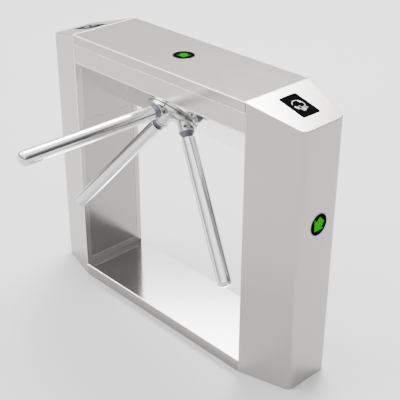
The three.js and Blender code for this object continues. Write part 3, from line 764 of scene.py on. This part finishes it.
class TURNSTILE_OT_stage(bpy.types.Operator):
    """Set up the floor, the soft light and the camera"""

    bl_idname = "turnstile.stage"
    bl_label = "Stage"

    def execute(self, context):
        studio = context.scene.turnstile_studio
        self.camera(context, studio)
        self.sky(context, studio)
        deselect_everything()
        bpy.ops.mesh.primitive_circle_add(vertices=96, radius=30, fill_type="NGON", location=(0, 0, 0))
        floor = bpy.context.object
        name_piece(floor, "floor")
        floor.data.materials.append(pale_floor("pale_floor", tuple(studio.floor_color)))
        self.lamp(studio)
        return {"FINISHED"}

    def lamp(self, studio):
        """A large round lamp high behind on the left, which casts the soft shadow."""
        place = Vector((-1.4, 2.4, 4.4))
        target = Vector((-1.0, 1.8, 0))
        deselect_everything()
        bpy.ops.object.light_add(type="AREA", location=place)
        light = bpy.context.object
        light.name = "back_left"
        light.data.shape = "DISK"
        light.data.size = 2.2
        light.data.energy = studio.lamp_power
        light.rotation_euler = (target - place).to_track_quat("-Z", "Y").to_euler()

    def camera(self, context, studio):
        azimuth, elevation, roll = studio.azimuth, studio.elevation, studio.roll
        back = Vector((math.sin(azimuth) * math.cos(elevation), -math.cos(azimuth) * math.cos(elevation),
                       math.sin(elevation)))
        right = Vector((math.cos(azimuth), math.sin(azimuth), 0))
        up = back.cross(right)
        turn = Matrix((right * math.cos(roll) + up * math.sin(roll),
                       up * math.cos(roll) - right * math.sin(roll), back)).transposed().to_4x4()
        deselect_everything()
        bpy.ops.object.camera_add()
        camera = bpy.context.object
        camera.data.lens = studio.lens
        camera.data.sensor_width = 36
        camera.data.clip_end = 100
        camera.matrix_world = Matrix.Translation(studio.place) @ turn
        context.scene.camera = camera

    def sky(self, context, studio):
        """A dome with a dark horizon, a dim right side and one tall soft box behind on the left."""
        world = bpy.data.worlds.new("studio_sky")
        context.scene.world = world
        sky = Finish("studio_sky", world)
        way = sky.node("ShaderNodeTexCoord")
        height = sky.node("ShaderNodeSeparateXYZ", {}, {0: way}, output=2)

        def along(direction):
            return sky.node("ShaderNodeVectorMath", {"operation": "DOT_PRODUCT"},
                            {0: way, 1: direction}, output=1)

        def grey_stops(*tones):
            return [(position, (tone, tone, tone)) for position, tone in tones]

        lit = sky.ramp(height, grey_stops((0.0, 0.12), (0.10, 0.20), (0.27, 0.62), (0.40, 0.9), (0.7, 1.5)))
        dim = sky.ramp(height, grey_stops((0.0, 0.05), (0.40, 0.08), (0.58, 0.16), (0.82, 1.4)))
        dome = sky.blend(sky.rise(along((0.8, 0.6, 0.0)), 0.0, 0.55), lit, dim)
        across = along((0.72, 0.695, 0.0))
        box = (sky.rise(height, 0.55, 0.62) * sky.rise(across, -0.34, -0.24)
               * (1 - sky.rise(across, 0.21, 0.31)) * sky.rise(along((-0.695, 0.72, 0.0)), -0.25, -0.1))
        lamp = sky.rise(along((-0.66, -0.49, 0.57)), 0.93, 0.97)
        share = studio.box_light / studio.dome_light
        light = sky.node("ShaderNodeBackground", {}, {
            "Color": sky.blend(box + lamp, dome, (share, share, share)), "Strength": studio.dome_light})
        sky.close(light, "ShaderNodeOutputWorld")


class TURNSTILE_OT_cabinet(bpy.types.Operator):
    """Fold the lid, the beam, the plinth and the two columns"""

    bl_idname = "turnstile.cabinet"
    bl_label = "Cabinet"

    def execute(self, context):
        cabinet = context.scene.turnstile_cabinet
        self.lid(cabinet)
        self.beam(cabinet)
        self.plinth(cabinet)
        for side, sign in SIDES:
            self.column(cabinet, side)
            self.bolts(cabinet, side, sign)
        return {"FINISHED"}

    def lid(self, cabinet):
        def outer_fold(edge):
            by_lamp = edge_middle(edge).xy.length < (LAMP_R + LAMP_CLEAR) * MM
            return not by_lamp and skyward(edge)

        folded("top_lid", "lid_cover", "lid", ("top_sheet", "bend_highlight_sheet"),
               [(outer_fold, cabinet.bend_radius)], cabinet.edge)

    def beam(self, cabinet):
        seam_z = high("beam_housing").z - MM
        front_y = low("beam_housing").y + MM

        def lengthwise(edge):
            return runs_along(edge) and edge.calc_length() > LONG_EDGE and edge_middle(edge).z < seam_z

        def seam_edge(edge):
            at = edge_middle(edge)
            return runs_along(edge) and at.z > seam_z and at.y < front_y

        # The beam's first finish is the lighter copy of the steel, painted light on the fascia.
        folded("beam_housing", "beam_body", "cabinet",
               ("beam_painted_light_sheet", "bend_highlight_sheet", "mirror_sheet"),
               [(lengthwise, cabinet.bend_radius), (seam_edge, cabinet.seam_radius)], cabinet.edge,
               lambda normal: normal.z < SLOPING_DOWN)

    def plinth(self, cabinet):
        top_z = high("base_plinth").z - MM

        def top_fold(edge):
            return runs_along(edge) and edge_middle(edge).z > top_z and edge.calc_length() > LONG_EDGE

        # The plinth's upright faces get the darker copy of the steel: painted shade.
        folded("base_plinth", "plinth_body", "cabinet",
               ("plinth_sheet", "bend_highlight_sheet", "door_painted_shade_sheet"), [(top_fold, cabinet.bend_radius)], cabinet.edge,
               lambda normal: abs(normal.y) > UPRIGHT)

    def column(self, cabinet, side):
        window = middle(f"{side}_reader_window")

        def corner(edge):
            at = edge_middle(edge)
            outer = abs(at.y) > HALF_DEPTH - 4 * MM
            if outer and abs(edge_way(edge).z) > UPRIGHT and edge.calc_length() > UPRIGHT_EDGE:
                return True
            return skyward(edge) and at.z > COLUMN_TOP and (at - window).length >= WINDOW_CLEAR

        folded(f"{side}_column_shell", f"{side}_column_body", "cabinet",
               ("column_sheet", "bend_highlight_sheet"), [(corner, cabinet.bend_radius)], cabinet.edge)

    def bolts(self, cabinet, side, sign):
        head = cabinet.bolt_head / MM
        profile = [(0, -2), (6, -2), (6, 0), (head + 2.5, 0), (head + 2.5, 2.2), (head - 1, 2.2),
                   (head - 1, 9), (head - 2, 10), (6, 10), (6, 17), (5, 18), (0, 18)]
        bolt = turned("anchor_bolt", profile, steps=6)
        soften(bolt, 0.4, 1)
        places = [Matrix.Translation((sign * x * MM, y * MM, FLOOR_PLATE_TOP * MM)) for x, y in BOLT_SPOTS]
        scattered(f"{side}_anchor_bolts", bolt, places, "cabinet", "zinc")


class TURNSTILE_OT_doors(bpy.types.Operator):
    """Make the access doors, their hinge rods and their locks"""

    bl_idname = "turnstile.doors"
    bl_label = "Doors"

    def execute(self, context):
        cabinet = context.scene.turnstile_cabinet

        def hem(edge):
            on_face = abs(edge_middle(edge).x) < COLUMN_X + 0.3 * MM
            return on_face and abs(edge_way(edge).x) < 0.5 and edge.calc_length() > HEM_EDGE

        for side, sign in SIDES:
            for node, name, body in (("access_door", "door_panel", f"{side}_door"),
                                     ("upper_cover", "upper_panel", "cabinet")):
                # The doors and covers wear the darker copy of the steel: painted shade on the columns' inner
                # faces.
                folded(f"{side}_{node}", f"{side}_{name}", body,
                       ("door_painted_shade_sheet", "bend_highlight_sheet"), [(hem, cabinet.hem_radius)], cabinet.edge)
            self.rod(side)
            self.lock(side, sign)
        return {"FINISHED"}

    def rod(self, side):
        node = f"{side}_door_rod"
        bottom, top, at = low(node).z / MM, high(node).z / MM, middle(node)
        rod = turned(f"{side}_hinge_rod", [(0, bottom), (2.4, bottom), (3, bottom + 1), (3, top - 1),
                                           (2.4, top), (0, top)],
                     Matrix.Translation((at.x, at.y, 0)), 32)
        shade(rod)
        hand_over(rod, f"{side}_door", [node], "machined")

    def lock(self, side, sign):
        at = Vector((sign * COLUMN_X, LOCK_Y * MM, LOCK_Z * MM))
        inward = frame_at(at, (sign, 0, 0), Vector((0, 1, 0)))
        face = turned("lock_face", [(0, -0.4), (8.8, -0.4), (8.8, 20), (0, 20)], inward)
        bezel = turned("lock_bezel", [(7.4, -1.3), (8, -2), (11.2, -2), (12, -1.3), (12, -0.3), (7.4, -0.3),
                                      (7.4, -1.3)], inward)
        plug = turned("lock_plug", [(0, -1.5), (6.6, -1.5), (7.1, -1), (7.1, 0), (0, 0)], inward)
        keyway = block("keyway", (-0.7, -4.4, -3), (0.7, 4.4, -0.6), inward, 0.1)
        boolean(plug, "DIFFERENCE", [keyway])
        cam = block("lock_cam", (-8, -8, 20), (8, 36, 23), inward, 0.6)
        nut = prism("lock_nut", arc(0, 0, 13, 0, 300, 5), 2.6, 7, inward)
        for part in (face, bezel, plug, nut, cam):
            shade(part)
        lock = merged(f"{side}_cam_lock", [face, bezel, plug, nut, cam])
        hand_over(lock, f"{side}_lock", [f"{side}_door_lock"], "chrome")


class TURNSTILE_OT_lamps(bpy.types.Operator):
    """Make the round direction lamps with their green arrows"""

    bl_idname = "turnstile.lamps"
    bl_label = "Direction lamps"

    def execute(self, context):
        top = frame_at(Vector((0, 0, TOP_Z)), (0, 0, 1), Vector((1, -1, 0)).normalized())
        self.lamp("top", "lid", top, TOP_ARROW_SCALE, "arrow_top")
        for side, sign in SIDES:
            node = middle(f"{side}_arrow_lamp")
            at = Vector((sign * HALF_LENGTH, node.y, node.z))
            down = Vector((0, -1, -1)).normalized()
            self.lamp(side, "cabinet", frame_at(at, (sign, 0, 0), down), 1.0, "arrow_end")
        return {"FINISHED"}

    def lamp(self, name, body, place, size, glow):
        rim = turned(f"{name}_lamp_rim", [
            (LAMP_R - 2.6, -4), (LAMP_R - 2.6, 0.2), (LAMP_R - 2.2, LAMP_PROUD), (LAMP_R - 0.5, LAMP_PROUD),
            (LAMP_R, 0.2), (LAMP_R, -4), (LAMP_R - 2.6, -4)], place, 96)
        shade(rim)
        hand_over(rim, body, (), "rim")
        lens_r = LAMP_R - 2.8
        lens = turned(f"{name}_lamp_lens", [
            (0, -18), (31.4, -18), (32, -17.4), (32, -4.2), (lens_r, -4.2), (lens_r, 0.0),
            (lens_r - 0.5, 0.35), (0, 0.45)], place, 96)
        shade(lens)
        hand_over(lens, body, [f"{name}_arrow_lamp"], "lens")
        corners = [(28, 0), (-2, 31), (-1, 16), (-21, 16), (-21, -16), (-1, -16), (-2, -31)]
        outline = [(x * size, y * size) for x, y in corners]
        arrow = prism(f"{name}_lamp_arrow", outline, 0.2, LAMP_PROUD, place)
        soften(arrow, 0.12, 1)
        hand_over(arrow, body, (), glow)


class TURNSTILE_OT_readers(bpy.types.Operator):
    """Make the card reader windows with their icon and the modules behind"""

    bl_idname = "turnstile.readers"
    bl_label = "Card readers"

    def execute(self, context):
        for side, sign in SIDES:
            outward = Vector((sign * math.sin(TOP_TILT), 0, math.cos(TOP_TILT)))
            centre = middle(f"{side}_reader_window")
            face = Vector((COLUMN_X * sign, 0, TOP_Z))
            centre -= outward * (centre - face).dot(outward)
            across = Vector((sign * math.cos(TOP_TILT), 0, -math.sin(TOP_TILT)))
            place = frame_at(centre, outward, across)
            self.window(side, place)
            self.icon(side, place)
            self.module(side, place)
        return {"FINISHED"}

    def window(self, side, place):
        pane = prism(f"{side}_reader_pane",
                     rounded_rectangle(READER_HALF_LENGTH, READER_HALF_WIDTH, 7.7), -4, 0.5, place)
        soften(pane, 0.4, 3)
        hand_over(pane, "cabinet", [f"{side}_reader_window"], "lens")

    def icon(self, side, place):
        """A hand with a card before a ring and three spreading waves, in thin lines."""
        def stroke(name, line, width=0.6):
            """A thin raised line that follows points about the icon's centre."""
            ways = [Vector(b) - Vector(a) for a, b in zip(line, line[1:])]
            ways.append(ways[-1])
            sides = [Vector((-way.y, way.x)).normalized() * width for way in ways]
            left = [Vector(point) + shift for point, shift in zip(line, sides)]
            right = [Vector(point) - shift for point, shift in zip(line, sides)]
            outline = [tuple(point) for point in left + right[::-1]]
            return prism(name, outline, ICON_BOTTOM, ICON_TOP, place)

        def leaf(name, x, y, half_x, half_y, lean):
            """A raised finger-like patch."""
            turn = Matrix.Rotation(math.radians(lean), 4, "Z")
            spot = place @ Matrix.Translation((x * MM, y * MM, 0)) @ turn
            return prism(name, rounded_rectangle(half_x, half_y, half_y - 0.1), ICON_BOTTOM, ICON_TOP, spot)

        parts = [stroke("ring", arc(-4, 0, 20, 40, 250, 24), 0.8)]
        parts += [stroke("wave", arc(6, 9, radius, -60, 40, 10)) for radius in (5, 10, 15)]
        card = [(2, -3), (24, 5), (28, -6), (6, -14), (2, -3)]
        parts += [stroke("card", [start, end]) for start, end in zip(card, card[1:])]
        parts += [leaf("thumb", -14, 14, 6.5, 2.6, 15), leaf("finger", 20, -1, 7, 2.2, 20),
                  leaf("palm", 6, -17, 8, 3, 18)]
        icon = merged(f"{side}_reader_icon", parts)
        hand_over(icon, "cabinet", (), "icon")

    def module(self, side, place):
        body = prism(f"{side}_reader_box", rounded_rectangle(48, 33, 4), -22, -4.3, place)
        soften(body, 0.8, 2)
        cover = prism("cover", rounded_rectangle(44, 29, 3), -24, -22.1, place)
        soften(cover, 0.5, 2)
        screw = cap_screw("screw", 2.4, 1.6, 1.2, 2)
        flip = Matrix.Rotation(math.pi, 4, "X")
        places = [place @ Matrix.Translation((x * MM, y * MM, -22 * MM)) @ flip
                  for x in (-40, 40) for y in (-25, 25)]
        scattered(f"{side}_reader_screws", screw, places, "cabinet", "zinc")
        box = merged(f"{side}_reader_box", [body, cover])
        hand_over(box, "cabinet", [f"{side}_reader_module"], "plastic")


class TURNSTILE_OT_hub(bpy.types.Operator):
    """Turn and drill the hub with its lugs, cap and rim screws"""

    bl_idname = "turnstile.hub"
    bl_label = "Hub"

    def execute(self, context):
        tripod = context.scene.turnstile_tripod
        self.hub(tripod)
        self.cap(tripod)
        self.rim_screws()
        return {"FINISHED"}

    def rim_places(self):
        middle_w = (HUB_BACK + HUB_FRONT) / 2
        for _, turn in ARMS:
            for lean in (-RIM_SCREW_LEAN, RIM_SCREW_LEAN):
                spin = Matrix.Rotation(math.radians(90 - turn - lean), 4, "Z")
                out = Matrix.Translation((HUB_R * MM, 0, middle_w * MM))
                yield SLOPE @ spin @ out @ Matrix.Rotation(math.pi / 2, 4, "Y")

    def hub(self, tripod):
        profile = [(0, HUB_BACK), (HUB_R - 1.5, HUB_BACK), (HUB_R, HUB_BACK + 1.5), (HUB_R, HUB_FRONT - 1.2),
                   (HUB_R - 1.2, HUB_FRONT), (HUB_R - 5, HUB_FRONT), (HUB_R - 6, HUB_FRONT + 0.6), (48, 12.4),
                   (40, 13.4), (32, 15.2), (26, DOME_TOP), (0, DOME_TOP)]
        hub = turned("rotor_hub", profile, SLOPE, tripod.turns * 2)
        flange = [(0, LUG_START + 14), (LUG_R, LUG_START + 14), (LUG_R, LUG_END - 7),
                  (LUG_RIM_R, LUG_END - 5), (LUG_RIM_R, LUG_END - 1), (LUG_RIM_R - 1, LUG_END), (0, LUG_END)]
        lugs = []
        for letter, turn in ARMS:
            lug = turned(f"lug_{letter}", flange, arm_place(turn), tripod.turns)
            trim = block("trim", (-200, -200, -200), (200, 200, HUB_BACK + 1), SLOPE, 0.1)
            boolean(lug, "DIFFERENCE", [trim])
            lugs.append(lug)
        boolean(hub, "UNION", lugs)
        tools = []
        for _, turn in ARMS:
            bore = [(0, SPIGOT_START), (SPIGOT_R + 0.3, SPIGOT_START),
                    (SPIGOT_R + 0.3, LUG_END + 9), (0, LUG_END + 9)]
            tools.append(turned("socket", bore, arm_place(turn), tripod.turns))
            hole = [(0, -60), (5.2, -60), (5.2, 60), (0, 60)]
            tools.append(turned("pin_hole", hole, pin_place(turn), 32))
        for place in self.rim_places():
            tools.append(turned("rim_hole", [(0, -9), (3.4, -9), (3.4, 4), (0, 4)], place, 24))
        boolean(hub, "DIFFERENCE", tools)
        soften(hub, tripod.edge / MM, 2, 35)
        hand_over(hub, "tripod", ["tripod_hub"], "hub")

    def cap(self, tripod):
        base = DOME_TOP + 0.3
        cap = turned("hub_centre_cap", [(0, base), (18, base), (18, base + 1), (16.8, base + 2),
                                        (9, base + 3), (0, base + 3.2)], SLOPE, tripod.turns)
        shade(cap)
        hand_over(cap, "tripod", ["hub_cap"], "chrome")

    def rim_screws(self):
        screw = turned("grub", [(0, -8), (3.1, -8), (3.1, -2.4), (2.7, -2), (0, -2)], None, 24)
        socket = prism("key", arc(0, 0, 1.7, 0, 300, 5), -4.5, 0)
        boolean(screw, "DIFFERENCE", [socket])
        shade(screw)
        scattered("rotor_rim_screws", screw, self.rim_places(), "tripod", "dark_steel")


class TURNSTILE_OT_arms(bpy.types.Operator):
    """Turn the collar, the tube, the end cap and the cross pin of each arm"""

    bl_idname = "turnstile.arms"
    bl_label = "Arms"

    def execute(self, context):
        tripod = context.scene.turnstile_tripod
        bore = TUBE_R - TUBE_WALL
        dome = arc(0, 0, 1, 4, 90, 12)
        rise = ARM_END - TUBE_END - 0.3
        collar = [(0, SPIGOT_START + 1), (SPIGOT_R, SPIGOT_START + 1), (SPIGOT_R, LUG_END + 0.3),
                  (LUG_RIM_R - 2, LUG_END + 0.3), (LUG_RIM_R - 1.2, LUG_END + 0.8),
                  (LUG_RIM_R - 1, LUG_END + 1.6), (LUG_RIM_R - 1.6, LUG_END + 4),
                  (NECK_R + 1.8, TUBE_START - 3.5), (NECK_R + 0.6, TUBE_START - 1.8),
                  (NECK_R, TUBE_START - 0.8), (NECK_R, 150), (0, 150)]
        tube = [(NECK_R + 0.3, TUBE_START), (TUBE_R - 1, TUBE_START), (TUBE_R - 0.3, TUBE_START + 0.3),
                (TUBE_R, TUBE_START + 1), (TUBE_R, TUBE_END - 0.5), (TUBE_R - 0.4, TUBE_END),
                (bore, TUBE_END), (bore, TUBE_START + 3), (NECK_R + 0.3, TUBE_START + 3),
                (NECK_R + 0.3, TUBE_START)]
        end_cap = [(0, TUBE_END - 22), (bore - 0.3, TUBE_END - 22), (bore - 0.3, TUBE_END + 0.3),
                   (TUBE_R - 0.4, TUBE_END + 0.3),
                   *[(TUBE_R * c, TUBE_END + 0.3 + rise * s) for c, s in dome[:-1]], (0, ARM_END)]
        parts = (("collar", "slate_collar", "slate", collar), ("tube", "chrome", "chrome", tube),
                 ("end_cap", "chrome", "chrome", end_cap))
        first = arm_place(0)
        for kind, slot, finish, profile in parts:
            model = turned(f"model_{kind}", profile, first, tripod.turns)
            if kind == "collar":
                boolean(model, "DIFFERENCE", [turned(
                    "pin_hole", [(0, -40), (5.2, -40), (5.2, 40), (0, 40)], pin_place(0), 32)])
            shade(model)
            self.repeat(model, kind, slot, finish)
        pin = turned("model_pin", [(0, -18.4), (4.4, -18.4), (5, -17.8), (5, 17.8), (4.4, 18.4), (0, 18.4)],
                     None, 32)
        sockets = [prism("key", arc(0, 0, 2.8, 0, 300, 5), start, start + 6) for start in (14, -20)]
        boolean(pin, "DIFFERENCE", sockets)
        settle(pin, pin_place(0))
        shade(pin)
        self.repeat(pin, "cross_pin", "dark_steel", "dark_steel")
        return {"FINISHED"}

    def repeat(self, model, kind, slot, finish):
        from_first = arm_place(0).inverted()
        for letter, turn in ARMS:
            piece = copy_piece(model, f"arm_{letter}_{kind}_fine", arm_place(turn) @ from_first)
            hand_over(piece, "tripod", [f"arm_{letter}_{kind}"], finish)
        bpy.data.objects.remove(model)


class TURNSTILE_OT_lid_hinge(bpy.types.Operator):
    """Refine the lid hinge and screw its leaves down"""

    bl_idname = "turnstile.lid_hinge"
    bl_label = "Lid hinge"

    def execute(self, context):
        for node, body in (("lid_hinge_fixed_leaf", "cabinet"), ("lid_hinge_moving_leaf", "lid"),
                           ("lid_hinge_pin", "lid")):
            refined(node, body, "machined", 0.15, 1)
            if node == "lid_hinge_pin":
                continue
            rise = LEAF_SCREW_RISE if body == "lid" else -LEAF_SCREW_RISE
            back = Vector((0, low(node).y + LEAF_THICKNESS * MM, middle(node).z + rise * MM))
            screw = cap_screw("screw", 3, 1.2, 1.5, 1.6)
            places = [frame_at(back + Vector((x * MM, 0, 0)), (0, 1, 0)) for x in LEAF_SCREW_X]
            scattered(f"{node}_screws", screw, places, body, "zinc")
        return {"FINISHED"}


class TURNSTILE_OT_mechanism(bpy.types.Operator):
    """Refine the plates, bearings, gears, pawls, solenoids and damper"""

    bl_idname = "turnstile.mechanism"
    bl_label = "Mechanism"

    def execute(self, context):
        plain = [
            ("mechanism_plate", "cabinet", "zinc_steel", "zinc", 0.4),
            ("bearing_housing", "cabinet", "zinc_steel", "hub", 0.5),
            ("front_bearing", "cabinet", "dark_steel", "machined", 0.4),
            ("rear_bearing", "cabinet", "dark_steel", "machined", 0.4),
            ("main_shaft", "tripod", "dark_steel", "machined", 0.5),
            ("index_wheel", "tripod", "dark_steel", "machined", 0.4),
            ("slotted_disc", "tripod", "zinc_steel", "zinc", 0.1),
            ("damper_gear", "tripod", "brass", "brass", 0.15),
            ("damper_pinion", "damper_pinion", "brass", "brass", 0.15),
            ("damper_plate", "cabinet", "zinc_steel", "zinc", 0.4),
            ("damper_body", "cabinet", "black_plastic", "plastic", 0.6),
            ("counter_sensor", "cabinet", "black_plastic", "plastic", 0.3),
        ]
        for side, _ in SIDES:
            plain += [(f"{side}_pawl", f"{side}_pawl", "dark_steel", "machined", 0.3),
                      (f"{side}_plunger", f"{side}_plunger", "zinc_steel", "zinc", 0.3),
                      (f"{side}_solenoid", "cabinet", "black_plastic", "plastic", 0.8)]
        for node, body, slot, finish, edge in plain:
            refined(node, body, finish, edge)
        self.screws()
        return {"FINISHED"}

    def screws(self):
        def facing_in(x, y, w):
            return SLOPE @ Matrix.Translation((x * MM, y * MM, w * MM)) @ Matrix.Rotation(math.pi, 4, "X")

        groups = (
            ("housing_screws", 4.5, 4.5, 2.6, 4, -18.8,
             [(47 * math.cos(math.radians(a)), 47 * math.sin(math.radians(a))) for a in range(30, 390, 60)]),
            ("damper_plate_screws", 5.5, 5, 3, 5, -102.1, [(-32, 92), (32, 92), (-92, -80), (92, -80)]),
            ("plate_corner_screws", 5, 4.5, 3, 5, -10.4, [(-118, 96), (118, 96), (-118, -84), (118, -84)]),
            ("damper_body_screws", 2.6, 2.4, 1.5, 3, -106.4, [(29, -30), (75, -30)]),
        )
        for name, head_r, head, shank_r, shank, w, spots in groups:
            screw = cap_screw("screw", head_r, head, shank_r, shank)
            places = [facing_in(x, y, w) for x, y in spots]
            scattered(name, screw, places, "cabinet", "dark_steel")


class TURNSTILE_OT_electronics(bpy.types.Operator):
    """Refine the control board and the power supply"""

    bl_idname = "turnstile.electronics"
    bl_label = "Electronics"

    def execute(self, context):
        board = refined("control_board", "cabinet", "board", 0.15, 1)
        wear(board, "board", "chip", "white_plastic")
        for face in board.data.polygons:
            if face.center.y < (BOARD_FRONT - CHIP_RISE) * MM:
                face.material_index = 1
            elif face.center.y > BOARD_BACK * MM:
                face.material_index = 2
        refined("power_supply", "cabinet", "zinc", 0.5)
        return {"FINISHED"}


class TURNSTILE_PT_panel(bpy.types.Panel):
    """Sidebar panel that lists the steps and the settings"""

    bl_idname = "TURNSTILE_PT_panel"
    bl_label = "Tripod Turnstile"
    bl_space_type = "VIEW_3D"
    bl_region_type = "UI"
    bl_category = "Turnstile"

    def draw(self, context):
        for operator in OPERATORS:
            self.layout.operator(operator.bl_idname)
        for name, group in SETTINGS.items():
            box = self.layout.box()
            box.label(text=group.__doc__)
            for key in group.__annotations__:
                box.prop(getattr(context.scene, name), key)


OPERATORS = (TURNSTILE_OT_finishes, TURNSTILE_OT_stage, TURNSTILE_OT_cabinet, TURNSTILE_OT_doors,
             TURNSTILE_OT_lamps, TURNSTILE_OT_readers, TURNSTILE_OT_hub, TURNSTILE_OT_arms,
             TURNSTILE_OT_lid_hinge, TURNSTILE_OT_mechanism, TURNSTILE_OT_electronics)
CLASSES = (*SETTINGS.values(), *OPERATORS, TURNSTILE_PT_panel)


def register():
    for cls in CLASSES:
        bpy.utils.register_class(cls)
    for name, group in SETTINGS.items():
        setattr(bpy.types.Scene, name, PointerProperty(type=group))


def unregister():
    for name in SETTINGS:
        delattr(bpy.types.Scene, name)
    for cls in reversed(CLASSES):
        bpy.utils.unregister_class(cls)


def main():
    register()
    for operator in OPERATORS:
        family, name = operator.bl_idname.split(".")
        getattr(getattr(bpy.ops, family), name)()


if __name__ == "__main__":
    main()
